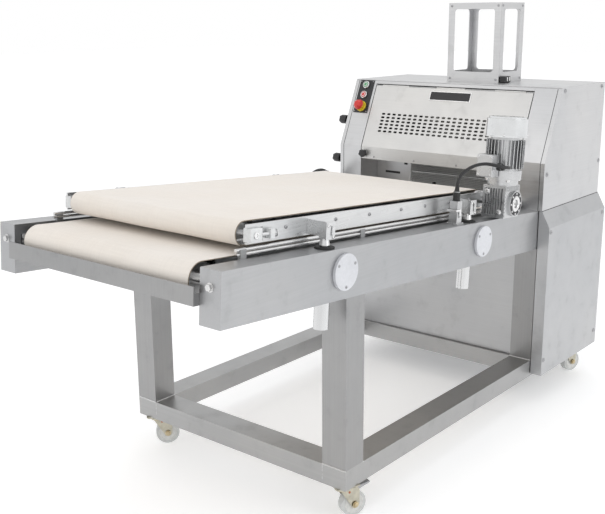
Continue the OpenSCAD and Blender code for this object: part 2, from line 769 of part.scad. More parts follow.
// woven mat: hangs from its bar and lies along the lower belt
module curling_mat() color("silver") {
  mat_x = [tower_x - 195, tower_x + 195];
  sloped() box([mat_x[0], 1385, 2.9], [mat_x[1], 1570, 6.4]);
  station() along_x(mat_x[0], mat_x[1]) polygon([
    [1564.5, 702.2], [1585, 702.5], [1604, 716], [1618, 742], [1627, 778], [1630, 806],
    [1626, 806], [1623.5, 779], [1614.6, 743.5], [1601.5, 719], [1583.5, 706.2], [1564.8, 705.8]
  ]);
  station() rod_x(-column_in + seam, column_in - seam, 1628, 811, 6);
}

// ---------- tower ----------

// sheet with a rounded window, in its own plane
module window_sheet(w, h) difference() {
  square([w, h]);
  polygon(concat(
    arc([w - 37, h - 34], 12, 0, 90, 6), arc([37, h - 34], 12, 90, 180, 6),
    arc([37, 49], 12, 180, 270, 6), arc([w - 37, 49], 12, 270, 360, 6)
  ));
}

module tower() color("silver") station() translate([tower_x - tower_w / 2, 1729, head_top]) {
  t = 2.5;
  translate([0, t, 0]) rotate([90, 0, 0]) linear_extrude(t) window_sheet(tower_w, tower_h);
  translate([0, tower_d, 0]) rotate([90, 0, 0]) linear_extrude(t) window_sheet(tower_w, tower_h);
  for (x = [0, tower_w - t])
    translate([x, t + seam, 0]) rotate([90, 0, 90]) linear_extrude(t) window_sheet(tower_d - 2 * (t + seam), tower_h);
}

side_rails();
cross_rails();
legs();
caster_plates();
fork(0, true);  // fork_front_right
fork(1, false);  // fork_front_left
fork(2, true);  // fork_rear_right
fork(3, false);  // fork_rear_left
wheel(0);  // wheel_front_right
wheel(1);  // wheel_front_left
wheel(2);  // wheel_rear_right
wheel(3);  // wheel_rear_left
brake_pedal(0);  // brake_pedal_front
brake_pedal(2);  // brake_pedal_rear
beam_right();
beam_left();
nose_plate();
take_ups();
slider_bed();
lower_belt();
front_drum();
drive_drum();
handwheel();
cross_shaft_front();
cross_shaft_rear();
lift_chain();
rack_posts();
post_sleeves();
bearing_covers();
upper_frame();
upper_belt();
nose_roller();
tensioners();
upper_drive_roller();
lift_brackets();
gearbox();
motor_body();
fan_cowl();
motor_fan();
terminal_box();
motor_cable();
connector();
connector_lever();
head_shell();
lower_covers();
guard();
guard_knob();
control_plate();
start_button();
stop_button();
estop_head();
panel_knob_upper();
panel_knob_lower();
roller_frame();
roller_a();
roller_b();
roller_c();
head_drive();
curling_mat();
tower();
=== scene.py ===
import bpy
import math
import random
from mathutils import Vector, Matrix


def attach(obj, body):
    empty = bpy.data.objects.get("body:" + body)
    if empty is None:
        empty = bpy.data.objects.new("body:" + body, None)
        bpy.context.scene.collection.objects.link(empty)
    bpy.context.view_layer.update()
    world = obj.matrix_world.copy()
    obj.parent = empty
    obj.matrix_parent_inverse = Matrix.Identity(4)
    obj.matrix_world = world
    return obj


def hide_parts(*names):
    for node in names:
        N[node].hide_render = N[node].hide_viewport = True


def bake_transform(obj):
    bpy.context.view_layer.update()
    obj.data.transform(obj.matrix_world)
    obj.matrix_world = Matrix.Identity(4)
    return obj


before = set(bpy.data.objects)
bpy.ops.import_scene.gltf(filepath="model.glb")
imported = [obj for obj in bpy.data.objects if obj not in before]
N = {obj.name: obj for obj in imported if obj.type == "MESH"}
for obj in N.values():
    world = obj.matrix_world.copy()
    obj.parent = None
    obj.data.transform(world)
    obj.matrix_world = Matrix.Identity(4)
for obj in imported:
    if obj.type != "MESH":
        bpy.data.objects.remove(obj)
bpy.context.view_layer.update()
random.seed(7)

# ---------------------------------------------------------------- shared places, in metres
FY = -0.988  # y of station 0, the front end of the beams
TILT = math.radians(4.3)  # the table falls towards the head
TABLE_Z = 0.816  # the beams' upper faces at station 0
BEAM_H = 0.133
HEAD_S = 1.531  # the head's front at its foot
GUARD_Z = 0.863  # where the sloping front starts
SLANT = math.atan((1.637 - HEAD_S) / (1.108 - GUARD_Z))
SIDE_X = 0.4295  # the head's side covers
POST_X = 0.384
POST_STATIONS = (0.400, 1.109)
DISC_STATIONS = (0.445, 1.154)
LOWER_H = -0.0412  # heights of the belts' rollers above the table
UPPER_H = 0.050
UPPER_FRONT = 0.182  # stations of the upper conveyor's two rollers
UPPER_REAR = 1.280
BELT_HALF = 0.312
BELT_T = 0.0028
GEAR_X = 0.457  # outer face of the gearbox's output flange
MOTOR_X = 0.416
MOTOR_S = 1.260
PLUG_X = 0.384
PLUG_S = 1.035
BUTTON_X = -0.3745
START_U, STOP_U, ESTOP_U = 0.243, 0.203, 0.157  # up the sloping front
PANEL_KNOBS = (("panel_knob_upper", 1.594, 0.952), ("panel_knob_lower", 1.552, 0.806))
EDGE_ANGLE = math.radians(40)
SMOOTH_ANGLE = math.radians(38)


def st(x, s, z):
    """a point at a station along the machine"""
    return Vector((x, FY + s, z))


def sl(x, s, h):
    """a point in the sloping table's own frame"""
    cos, sin = math.cos(TILT), math.sin(TILT)
    return Vector((x, FY + s * cos + h * sin, TABLE_Z - s * sin + h * cos))


def fr(x, a, u):
    """a point on the head's sloping front: a goes inwards, u up the slope"""
    cos, sin = math.cos(SLANT), math.sin(SLANT)
    return Vector((x, FY + HEAD_S + a * cos + u * sin, GUARD_Z - a * sin + u * cos))


UP = Vector((0, math.sin(TILT), math.cos(TILT)))
ALONG = Vector((0, math.cos(TILT), -math.sin(TILT)))
OUT = Vector((0, -math.cos(SLANT), math.sin(SLANT)))
X = Vector((1, 0, 0))
Y = Vector((0, 1, 0))
Z = Vector((0, 0, 1))

# ---------------------------------------------------------------- camera
CAMERA_AT = Vector((1.8052, -2.3864, 1.3492))
yaw, pitch, roll = math.radians(39.702), math.radians(-14.346), math.radians(-0.402)
look = Vector((-math.sin(yaw) * math.cos(pitch), math.cos(yaw) * math.cos(pitch), math.sin(pitch)))
level = look.cross(Z).normalized()
rise = level.cross(look)
right = level * math.cos(roll) + rise * math.sin(roll)
up = -level * math.sin(roll) + rise * math.cos(roll)
cam_data = bpy.data.cameras.new("camera")
cam_data.sensor_width = 36
cam_data.lens = 56.13
cam = bpy.data.objects.new("camera", cam_data)
bpy.context.collection.objects.link(cam)
cam.matrix_world = Matrix([(right[i], up[i], -look[i], CAMERA_AT[i]) for i in range(3)] + [(0, 0, 0, 1)])
bpy.context.scene.camera = cam
bpy.context.scene.view_settings.view_transform = "Standard"

# ---------------------------------------------------------------- materials


def nodes_of(name):
    """a new material with its node tree and its shader"""
    m = bpy.data.materials.new(name)
    m.use_nodes = True
    t = m.node_tree
    b = t.nodes["Principled BSDF"]
    return m, t, b


def noise(t, scale, detail=4.0, rough=0.55, mapping=None, coord="Object"):
    tc = t.nodes.new("ShaderNodeTexCoord")
    mp = t.nodes.new("ShaderNodeMapping")
    mp.inputs["Scale"].default_value = mapping or (1, 1, 1)
    n = t.nodes.new("ShaderNodeTexNoise")
    n.inputs["Scale"].default_value = scale
    n.inputs["Detail"].default_value = detail
    n.inputs["Roughness"].default_value = rough
    t.links.new(tc.outputs[coord], mp.inputs["Vector"])
    t.links.new(mp.outputs["Vector"], n.inputs["Vector"])
    return n


def ramp(t, src, stops):
    """a colour ramp; a stop's colour is RGB, or one value for grey"""
    c = t.nodes.new("ShaderNodeValToRGB")
    e = c.color_ramp.elements
    while len(e) < len(stops):
        e.new(0.5)
    for i, (p, col) in enumerate(stops):
        e[i].position = p
        e[i].color = (*col, 1) if len(col) == 3 else (col[0], col[0], col[0], 1)
    t.links.new(src, c.inputs["Fac"])
    return c


def mix(t, a, b, fac, mode="MIX"):
    m = t.nodes.new("ShaderNodeMix")
    m.data_type = "RGBA"
    m.blend_type = mode
    if isinstance(fac, float):
        m.inputs[0].default_value = fac
    else:
        t.links.new(fac, m.inputs[0])
    t.links.new(a, m.inputs[6])
    t.links.new(b, m.inputs[7])
    return m.outputs[2]


def bump(t, b, src, strength, dist):
    n = t.nodes.new("ShaderNodeBump")
    n.inputs["Strength"].default_value = strength
    n.inputs["Distance"].default_value = dist
    t.links.new(src, n.inputs["Height"])
    t.links.new(n.outputs["Normal"], b.inputs["Normal"])


def brushed(name, col, rough=0.34, grain=(3, 3, 240), tint=0.10, depth=0.12):
    """satin stainless: fine grain along the sheet, soft handling marks, roughness that follows both"""
    m, t, b = nodes_of(name)
    b.inputs["Metallic"].default_value = 1.0
    g = noise(t, 1.0, 5.0, 0.6, grain)
    s = noise(t, 2.6, 3.0, 0.5)
    w = noise(t, 17.0, 5.0, 0.6)
    lo = tuple(c * (1 - tint) for c in col)
    hi = tuple(min(1, c * (1 + tint * 0.8)) for c in col)
    base = ramp(t, g.outputs["Fac"], [(0.32, lo), (0.68, hi)])
    soft = ramp(t, s.outputs["Fac"], [(0.3, (0.90, 0.905, 0.91)), (0.7, (1.0, 0.995, 0.985))])
    mark = ramp(t, w.outputs["Fac"], [(0.30, (0.93,)), (0.42, (1.0,))])
    c1 = mix(t, base.outputs["Color"], soft.outputs["Color"], 1.0, "MULTIPLY")
    c2 = mix(t, c1, mark.outputs["Color"], 1.0, "MULTIPLY")
    t.links.new(c2, b.inputs["Base Color"])
    rr = ramp(t, g.outputs["Fac"], [(0.3, (rough - 0.05,)), (0.7, (rough + 0.06,))])
    r3 = ramp(t, w.outputs["Fac"], [(0.35, (1.15,)), (0.6, (0.95,))])
    t.links.new(mix(t, rr.outputs["Color"], r3.outputs["Color"], 1.0, "MULTIPLY"), b.inputs["Roughness"])
    bump(t, b, g.outputs["Fac"], depth, 0.0006)
    return m


def plain(name, col, rough, metallic=0.0, var=0.12, scale=60, grain=0.15, coat=0.0, detail=4.0):
    """a moulded, cast or painted surface with fine grain and colour variation"""
    m, t, b = nodes_of(name)
    b.inputs["Metallic"].default_value = metallic
    b.inputs["Coat Weight"].default_value = coat
    n = noise(t, scale, detail)
    w = noise(t, scale * 0.12, 3.0)
    lo = tuple(c * (1 - var) for c in col)
    hi = tuple(min(1, c * (1 + var)) for c in col)
    a = ramp(t, n.outputs["Fac"], [(0.3, lo), (0.7, hi)])
    s = ramp(t, w.outputs["Fac"], [(0.3, (0.90,)), (0.7, (1.0,))])
    t.links.new(mix(t, a.outputs["Color"], s.outputs["Color"], 1.0, "MULTIPLY"), b.inputs["Base Color"])
    rr = ramp(t, w.outputs["Fac"], [(0.3, (max(0.02, rough - 0.07),)), (0.7, (min(1, rough + 0.08),))])
    t.links.new(rr.outputs["Color"], b.inputs["Roughness"])
    bump(t, b, n.outputs["Fac"], grain, 0.0008)
    return m


def canvas(name, col, warm):
    """cotton conveyor canvas: plain weave from the belt's own UVs in metres, slubs, flour in the weave"""
    m, t, b = nodes_of(name)
    tc = t.nodes.new("ShaderNodeTexCoord")
    waves = []
    for axis in ("X", "Y"):
        w = t.nodes.new("ShaderNodeTexWave")
        w.bands_direction = axis
        w.inputs["Scale"].default_value = 130
        w.inputs["Distortion"].default_value = 0.7
        w.inputs["Detail"].default_value = 1.5
        t.links.new(tc.outputs["UV"], w.inputs["Vector"])
        waves.append(w)
    weave = mix(t, waves[0].outputs["Color"], waves[1].outputs["Color"], 0.5)
    slub = noise(t, 1.0, 4.0, 0.6, (9, 160, 1), "UV")
    slub2 = noise(t, 1.0, 4.0, 0.6, (160, 9, 1), "UV")
    big = noise(t, 3.0, 4.0, 0.55, None, "UV")
    a = ramp(t, weave, [(0.15, tuple(c * 0.90 for c in col)), (0.75, col)])
    s1 = ramp(t, slub.outputs["Fac"], [(0.3, (0.96,)), (0.6, (1.0,))])
    s2 = ramp(t, slub2.outputs["Fac"], [(0.3, (0.965,)), (0.6, (1.0,))])
    s3 = ramp(t, big.outputs["Fac"], [(0.3, warm), (0.65, (1, 1, 1))])
    c = mix(t, a.outputs["Color"], s1.outputs["Color"], 1.0, "MULTIPLY")
    c = mix(t, c, s2.outputs["Color"], 1.0, "MULTIPLY")
    c = mix(t, c, s3.outputs["Color"], 1.0, "MULTIPLY")
    t.links.new(c, b.inputs["Base Color"])
    rr = ramp(t, big.outputs["Fac"], [(0.3, (0.86,)), (0.7, (0.95,))])
    t.links.new(rr.outputs["Color"], b.inputs["Roughness"])
    b.inputs["Sheen Weight"].default_value = 0.25
    b.inputs["Sheen Roughness"].default_value = 0.5
    bump(t, b, weave, 0.35, 0.0005)
    return m


# the stainless parts are one brushed steel in lit and shaded copies: besides the grain direction, each copy's
# base colour is set darker or lighter per part as painted shade, darkest for the legs and nose plate, the
# inner frames, the cross tubes, the beams and the lower covers
STEEL = (0.62, 0.622, 0.63)
M = {}
M["sheet"] = brushed("stainless_sheet", STEEL, 0.34, (3, 3, 260), 0.045, 0.07)
M["sheet_y"] = brushed("stainless_beam", (0.455, 0.46, 0.47), 0.37, (260, 3, 260), 0.05, 0.07)
M["tube_x"] = brushed("stainless_cross_tube", (0.44, 0.44, 0.44), 0.37, (3, 260, 260), 0.05, 0.07)
M["tube_z"] = brushed("stainless_leg", (0.365, 0.365, 0.367), 0.37, (260, 260, 3), 0.05, 0.07)
M["cover"] = brushed("stainless_cover", (0.53, 0.535, 0.545), 0.40, (3, 3, 300), 0.035, 0.06)
M["guard"] = brushed("stainless_guard", (0.68, 0.675, 0.665), 0.44, (3, 300, 300), 0.035, 0.06)
M["dark_sheet"] = brushed("stainless_inner", (0.42, 0.425, 0.43), 0.42, (3, 3, 200), 0.15)
M["plate"] = brushed("stainless_side_plate", (0.68, 0.685, 0.69), 0.30, (260, 4, 260), 0.08)
M["turned"] = brushed("turned_steel", (0.70, 0.70, 0.70), 0.20, (420, 3, 3), 0.08, 0.1)
M["canvas"] = canvas("belt_canvas", (0.875, 0.825, 0.765), (0.97, 0.95, 0.925))
M["canvas_edge"] = plain("belt_edge", (0.30, 0.25, 0.19), 0.9, 0, 0.25, 300, 0.4)
M["roller"] = plain("roller_plastic", (0.80, 0.80, 0.77), 0.42, 0, 0.05, 90, 0.08)
M["disc"] = plain("satin_white_cover", (0.66, 0.67, 0.70), 0.38, 0.15, 0.04, 140, 0.08)
M["black"] = plain("black_plastic", (0.022, 0.022, 0.024), 0.42, 0, 0.25, 180, 0.2)
# also used for the dark strips painted as shade in the head's gaps
M["black_soft"] = plain("black_rubber_and_painted_gap_shade", (0.018, 0.018, 0.018), 0.6, 0, 0.25, 240, 0.25)
M["zinc"] = plain("yellow_zinc", (0.62, 0.52, 0.34), 0.30, 1.0, 0.22, 55, 0.1)
M["zinc_pale"] = plain("bright_zinc", (0.52, 0.495, 0.41), 0.26, 1.0, 0.15, 55, 0.1)
M["copper"] = plain("copper_red_steel", (0.45, 0.16, 0.09), 0.40, 0.7, 0.2, 55, 0.1)
M["tyre"] = plain("grey_tyre", (0.56, 0.57, 0.56), 0.45, 0, 0.08, 90, 0.12)
M["hub"] = plain("wheel_core", (0.66, 0.66, 0.64), 0.4, 0, 0.08, 90, 0.1)
# also used for the dark strips and ring painted as shade on the gearbox
M["dark"] = plain("oiled_steel_and_painted_shade", (0.060, 0.060, 0.064), 0.42, 0.8, 0.3, 80, 0.2)
M["cast"] = plain("cast_aluminium", (0.60, 0.605, 0.61), 0.30, 1.0, 0.07, 300, 0.10)
M["cowl"] = plain("fan_cowl_steel", (0.74, 0.75, 0.755), 0.20, 1.0, 0.03, 40, 0.03)
M["chrome"] = plain("bright_metal", (0.80, 0.80, 0.80), 0.14, 1.0, 0.05, 80, 0.04)
M["screw"] = plain("screw_steel", (0.42, 0.42, 0.43), 0.32, 1.0, 0.15, 300, 0.1)
M["cable"] = plain("cable_jacket", (0.020, 0.020, 0.021), 0.48, 0, 0.25, 320, 0.25)
M["green"] = plain("green_lens", (0.10, 0.34, 0.16), 0.25, 0, 0.10, 120, 0.05, 0.3)
M["red"] = plain("red_plastic", (0.62, 0.025, 0.02), 0.30, 0, 0.10, 120, 0.05, 0.3)
M["yellow"] = plain("yellow_plastic", (0.78, 0.58, 0.03), 0.38, 0, 0.08, 120, 0.05, 0.1)
M["white"] = plain("white_plastic", (0.80, 0.80, 0.79), 0.35, 0, 0.05, 120, 0.05)
M["blue"] = plain("drive_paint", (0.07, 0.11, 0.18), 0.45, 0, 0.15, 110, 0.15)
M["wire"] = plain("woven_wire", (0.78, 0.78, 0.77), 0.35, 0.35, 0.15, 500, 0.05)
M["white_block"] = plain("white_slide_block", (0.78, 0.79, 0.79), 0.35, 0.2, 0.06, 140, 0.06)

USE = {
    "sheet": "head_shell tower",
    "sheet_y": "beam_right beam_left",
    "tube_x": "cross_rails side_rails",
    "tube_z": "legs nose_plate",
    "cover": "lower_covers",
    "guard": "guard",
    "dark_sheet": "slider_bed roller_frame",
    "plate": "upper_frame lift_brackets",
    "turned": "front_drum drive_drum cross_shaft_front cross_shaft_rear nose_roller upper_drive_roller "
              "rack_posts take_ups post_sleeves",
    "roller": "roller_a roller_b roller_c",
    "disc": "bearing_covers",
    "black": "guard_knob panel_knob_upper panel_knob_lower control_plate handwheel",
    "zinc_pale": "caster_plates fork_front_right fork_front_left fork_rear_right fork_rear_left",
    "tyre": "wheel_front_right wheel_front_left wheel_rear_right wheel_rear_left",
    "dark": "lift_chain motor_fan",
    "screw": "brake_pedal_front brake_pedal_rear",
    "cast": "gearbox motor_body terminal_box connector",
    "cowl": "fan_cowl",
    "chrome": "connector_lever",
    "white_block": "tensioners",
    "canvas": "lower_belt upper_belt",
    "cable": "motor_cable",
    "green": "start_button",
    "red": "stop_button estop_head",
    "blue": "head_drive",
    "wire": "curling_mat",
}
for key, names in USE.items():
    for n in names.split():
        N[n].data.materials.clear()
        N[n].data.materials.append(M[key])

# edges of the welded and folded sheet parts are eased
for n, w in {
    "side_rails": 0.003, "cross_rails": 0.003, "legs": 0.003, "beam_right": 0.0016, "beam_left": 0.0016,
    "terminal_box": 0.002, "gearbox": 0.0014, "lower_covers": 0.0012, "connector": 0.0012,
}.items():
    b = N[n].modifiers.new("eased_edges", "BEVEL")
    b.width = w
    b.segments = 2
    b.limit_method = "ANGLE"
    b.angle_limit = EDGE_ANGLE
    b.harden_normals = False

# ---------------------------------------------------------------- mesh helpers


def finish_mesh(name, verts, faces, mat, body, smooth=True, uvs=None):
    me = bpy.data.meshes.new(name)
    me.from_pydata([tuple(v) for v in verts], [], faces)
    me.validate()
    me.materials.append(M[mat])
    if smooth:
        me.shade_smooth()
        me.set_sharp_from_angle(angle=SMOOTH_ANGLE)
    if uvs:
        layer = me.uv_layers.new(name="uv")
        for loop in me.loops:
            layer.data[loop.index].uv = uvs[loop.vertex_index]
    o = bpy.data.objects.new(name, me)
    bpy.context.collection.objects.link(o)
    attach(o, body)
    return o


def basis(n):
    """two axes across n, and n itself at unit length"""
    n = n.normalized()
    a = Vector((0, 0, 1)) if abs(n.z) < 0.8 else Vector((0, 1, 0))
    p = a.cross(n).normalized()
    return p, n.cross(p), n


def lathe_into(verts, faces, centre, axis, profile, seg=20):
    """adds a solid of revolution; the profile is (radius, height) pairs, closed at both ends on the axis"""
    p, q, n = basis(axis)
    rows = []
    for rad, h in profile:
        if rad < 1e-7:
            verts.append(centre + n * h)
            rows.append([len(verts) - 1])
        else:
            rows.append([len(verts) + i for i in range(seg)])
            for i in range(seg):
                a = 2 * math.pi * i / seg
                verts.append(centre + n * h + (p * math.cos(a) + q * math.sin(a)) * rad)
    for a, b in zip(rows, rows[1:]):
        for i in range(seg):
            j = (i + 1) % seg
            if len(a) == 1:
                faces.append((a[0], b[j], b[i]))
            elif len(b) == 1:
                faces.append((a[i], a[j], b[0]))
            else:
                faces.append((a[i], a[j], b[j], b[i]))


def lathes(name, items, profile, mat, body, seg=20):
    """one piece with the same turned profile at every (centre, axis)"""
    v, fc = [], []
    for c, n in items:
        lathe_into(v, fc, c, n, profile, seg)
    return finish_mesh(name, v, fc, mat, body)


def dome(rad, h):
    """round-headed screw with a hollow in its head, seated a little into the sheet"""
    k = rad * 0.42
    return [(0, -0.001), (rad, -0.001), (rad, 0.0), (rad * 0.96, h * 0.45), (rad * 0.75, h * 0.85),
        (rad * 0.5, h),
            (k, h), (k * 0.92, h * 0.35), (0, h * 0.35)]


def washer(rad, hole, h):
    return [(0, -0.0005), (rad, -0.0005), (rad, h * 0.7), (rad - h * 0.3, h), (hole, h),
        (hole * 0.96, h * 0.3), (0, h * 0.3)]


def prism(verts, faces, centre, axis, rad, h0, h1, sides, turn=0.0, top=0.85):
    """hexagonal or square head with a chamfered top"""
    p, q, n = basis(axis)
    rings = [(rad, h0), (rad, h1 - (h1 - h0) * 0.15), (rad * top, h1)]
    idx = []
    for rd, h in rings:
        idx.append([len(verts) + i for i in range(sides)])
        for i in range(sides):
            a = turn + 2 * math.pi * i / sides
            verts.append(centre + n * h + (p * math.cos(a) + q * math.sin(a)) * rd)
    faces.append(tuple(reversed(idx[0])))
    for a, b in zip(idx, idx[1:]):
        for i in range(sides):
            faces.append((a[i], a[(i + 1) % sides], b[(i + 1) % sides], b[i]))
    faces.append(tuple(idx[-1]))


def hexes(name, items, rad, h, mat, body):
    """hexagon heads on washers; each head takes one random turn"""
    v, fc = [], []
    for c, n in items:
        lathe_into(v, fc, c, n, [(0, -0.001), (rad * 1.35, -0.001), (rad * 1.35, h * 0.18),
                (rad * 1.25, h * 0.25), (0, h * 0.25)], 18)
        prism(v, fc, c, n, rad, h * 0.2, h, 6, random.random())
    return finish_mesh(name, v, fc, mat, body, smooth=False)


def block_into(verts, faces, o, ax, ay, az, size, bev=0.001):
    """adds a chamfered block; o is its centre, ax, ay and az its axes, and size its full sides"""
    hx, hy, hz = (s / 2 for s in size)
    bev = min(bev, hx * 0.45, hy * 0.45, hz * 0.45)
    ring = [(hx - bev, hy), (hx, hy - bev), (hx, -hy + bev), (hx - bev, -hy), (-hx + bev, -hy),
        (-hx, -hy + bev), (-hx, hy - bev), (-hx + bev, hy)]
    levels = [(-hz, bev), (-hz + bev, 0), (hz - bev, 0), (hz, bev)]
    rows = []
    for z, inset in levels:
        rows.append(len(verts))
        for x, y in ring:
            fx = (abs(x) - inset) / abs(x)
            fy = (abs(y) - inset) / abs(y)
            verts.append(o + ax * x * fx + ay * y * fy + az * z)
    for a, b in zip(rows, rows[1:]):
        for i in range(8):
            j = (i + 1) % 8
            faces.append((a + i, b + i, b + j, a + j))
    faces.append(tuple(rows[0] + i for i in range(8)))
    faces.append(tuple(rows[-1] + 7 - i for i in range(8)))


def blocks(name, items, mat, body, bev=0.001):
    """items are (centre, x axis, y axis, z axis, size)"""
    v, fc = [], []
    for it in items:
        block_into(v, fc, *it, bev)
    return finish_mesh(name, v, fc, mat, body, smooth=False)


def tube_into(verts, faces, pts, rad, sides=8, closed=False):
    """adds a round tube along the points"""
    pts = [Vector(p) for p in pts]
    n = len(pts)
    prev = None
    base = len(verts)
    for i, p in enumerate(pts):
        if closed:
            d = (pts[(i + 1) % n] - pts[i - 1]).normalized()
        else:
            d = (pts[min(i + 1, n - 1)] - pts[max(i - 1, 0)]).normalized()
        if prev is None:
            a = Vector((0.5, -0.5, 0.7))
            if abs(a.normalized().dot(d)) > 0.9:
                a = X.copy()
            prev = a.cross(d).normalized()
        else:
            prev = (prev - d * prev.dot(d)).normalized()
        q = d.cross(prev)
        for k in range(sides):
            ang = 2 * math.pi * k / sides
            verts.append(p + (prev * math.cos(ang) + q * math.sin(ang)) * rad)
    rows = n if closed else n - 1
    for i in range(rows):
        a = base + i * sides
        b = base + ((i + 1) % n) * sides
        for k in range(sides):
            j = (k + 1) % sides
            faces.append((a + k, a + j, b + j, b + k))
    if not closed:
        faces.append(tuple(base + sides - 1 - k for k in range(sides)))
        faces.append(tuple(base + (n - 1) * sides + k for k in range(sides)))


def both(items):
    """mirrors (point, normal) pairs to the other side too"""
    out = []
    for c, n in items:
        out.append((c, n))
        out.append((Vector((-c.x, c.y, c.z)), Vector((-n.x, n.y, n.z))))
    return out


# ---------------------------------------------------------------- motor cable
LEAD_RADIUS = 0.005
SUBSTEPS = 3
ROUTE = [  # millimetres
    (384, 51.4, 836.6), (384, 52.2, 848), (384.3, 53.4, 860), (385.8, 57, 872), (389.5, 63.5, 884),
    (395.5, 72.5, 894.5),
    (404, 83, 903.5), (414.5, 94, 910.5), (426.5, 104.5, 915), (439.5, 113, 917), (453, 118.5, 916.5),
    (467, 121.8, 914.5), (480, 129.5, 911.5), (489, 142.5, 908), (492, 158.4, 904.8), (488.5, 174, 902),
    (479, 187, 899.8), (466, 195.5, 898.2), (452.3, 198.4, 897.3),
]
raw = [Vector(p) / 1000 for p in ROUTE]
path = []
for i in range(len(raw) - 1):
    p0, p1, p2, p3 = raw[max(i - 1, 0)], raw[i], raw[i + 1], raw[min(i + 2, len(raw) - 1)]
    for k in range(SUBSTEPS):
        a = k / SUBSTEPS
        square = (2 * p0 - 5 * p1 + 4 * p2 - p3) * a * a
        cube = (3 * p1 - p0 - 3 * p2 + p3) * a ** 3
        path.append(0.5 * ((2 * p1) + (p2 - p0) * a + square + cube))
path.append(raw[-1])
v, fc = [], []
tube_into(v, fc, path, LEAD_RADIUS, 14)
me = bpy.data.meshes.new("motor_lead")
me.from_pydata([tuple(p) for p in v], [], fc)
me.materials.append(M["cable"])
me.shade_smooth()
lead = bpy.data.objects.new("motor_lead", me)
bpy.context.collection.objects.link(lead)
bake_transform(lead)
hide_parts("motor_cable")
BOOT = [
    (0, -0.0275), (0.0108, -0.0275), (0.0108, -0.019), (0.0102, -0.0185), (0.0102, -0.015), (0.0108, -0.0145),
    (0.0104, -0.004), (0.0096, 0.0), (0.0072, 0.003), (0.0062, 0.011), (0.0054, 0.016), (0, 0.016),
]
GLAND = [
    (0, -0.014), (0.0118, -0.014), (0.0118, -0.006), (0.0108, 0.0), (0.0095, 0.001), (0.0075, 0.007),
    (0.0054, 0.012), (0, 0.012),
]
lathes("lead_boot_connector", [(path[0], UP)], BOOT, "black_soft", "machine", 24)
lathes("lead_gland_motor", [(path[-1], X)], GLAND, "black_soft", "upper_conveyor", 24)

# ---------------------------------------------------------------- belts


def belt(name, s0, s1, h, rad, t, half, body, node, twist):
    """closed canvas loop between two rollers, with rounded edges and a slightly uneven face"""
    outline = []
    bend = 28
    straight = 60
    for end, other, turn in ((s1, s0, -90), (s0, s1, 90)):
        for i in range(bend + 1):
            a = math.radians(turn + 180 * i / bend)
            cos, sin = math.cos(a), math.sin(a)
            outline.append((end + (rad + t / 2) * cos, h + (rad + t / 2) * sin, cos, sin))
        face = 1 if turn < 0 else -1
        for i in range(1, straight):
            k = i / straight
            outline.append((end + (other - end) * k, h + face * rad + face * t / 2, 0, face))
    run = [0.0]
    for a, b in zip(outline, outline[1:] + outline[:1]):
        run.append(run[-1] + math.hypot(a[0] - b[0], a[1] - b[1]))
    e = t / 2
    across = 24
    section = []
    for i in range(across + 1):
        x = -half + e + (2 * half - 2 * e) * i / across
        section.append((x, e))
    section += [(half - e * 0.3, e * 0.72), (half, 0), (half - e * 0.3, -e * 0.72)]
    for i in range(across + 1):
        x = half - e - (2 * half - 2 * e) * i / across
        section.append((x, -e))
    section += [(-half + e * 0.3, -e * 0.72), (-half, 0), (-half + e * 0.3, e * 0.72)]
    verts, uvs = [], []
    for j, (s, hh, ns, nh) in enumerate(outline):
        for x, off in section:
            wob = 0.00035 * math.sin(x * 23 + twist) * math.sin(run[j] * 9 + twist)
            wob = wob + 0.00025 * math.sin(run[j] * 31 + x * 11)
            off2 = off + (wob - 0.0003 if off > 0 else 0)
            sk = 0.0006 * math.sin(run[j] * 7 + twist)
            xx = max(-half, min(half, x + (sk if abs(x) > half - 2 * e else 0)))
            verts.append(sl(xx, s + ns * off2, hh + nh * off2))
            uvs.append((x, run[j]))
    m = len(section)
    faces = []
    for j in range(len(outline)):
        for i in range(m):
            a = j * m + i
            b = j * m + (i + 1) % m
            c = ((j + 1) % len(outline)) * m
            faces.append((a, b, c + (i + 1) % m, c + i))
    o = finish_mesh(name, verts, faces, "canvas", body, True, uvs)
    o.data.materials.append(M["canvas_edge"])
    for p in o.data.polygons:
        k = p.index % m
        if across <= k <= across + 3 or k >= m - 4:
            p.material_index = 1
    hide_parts(node)


belt("belt_lower_canvas", 0.045, 1.860, LOWER_H, 0.0404, BELT_T, BELT_HALF, "machine", "lower_belt", 0.4)
belt("belt_upper_canvas", UPPER_FRONT, UPPER_REAR, UPPER_H, 0.0279, BELT_T, BELT_HALF, "upper_conveyor",
     "upper_belt", 2.1)

# ---------------------------------------------------------------- woven mat at the outlet
mat_line = [sl(0, 1.385 + 0.1794 * i / 22, 0.0045) for i in range(23)]
mat_line += [st(0, s, z) for s, z in [
    (1.575, 0.7035), (1.584, 0.7045), (1.592, 0.709), (1.6025, 0.7175), (1.610, 0.729), (1.6163, 0.7427),
    (1.6205, 0.755), (1.6233, 0.767), (1.6252, 0.7785), (1.6268, 0.790), (1.628, 0.804),
]]
steps = []
acc = 0.0
for a, b in zip(mat_line, mat_line[1:]):
    steps.append((acc, a, b))
    acc += (b - a).length


def mat_at(d):
    for s0, a, b in steps:
        ln = (b - a).length
        if d <= s0 + ln:
            return a + (b - a) * ((d - s0) / ln), (b - a).normalized()
    return mat_line[-1].copy(), (mat_line[-1] - mat_line[-2]).normalized()


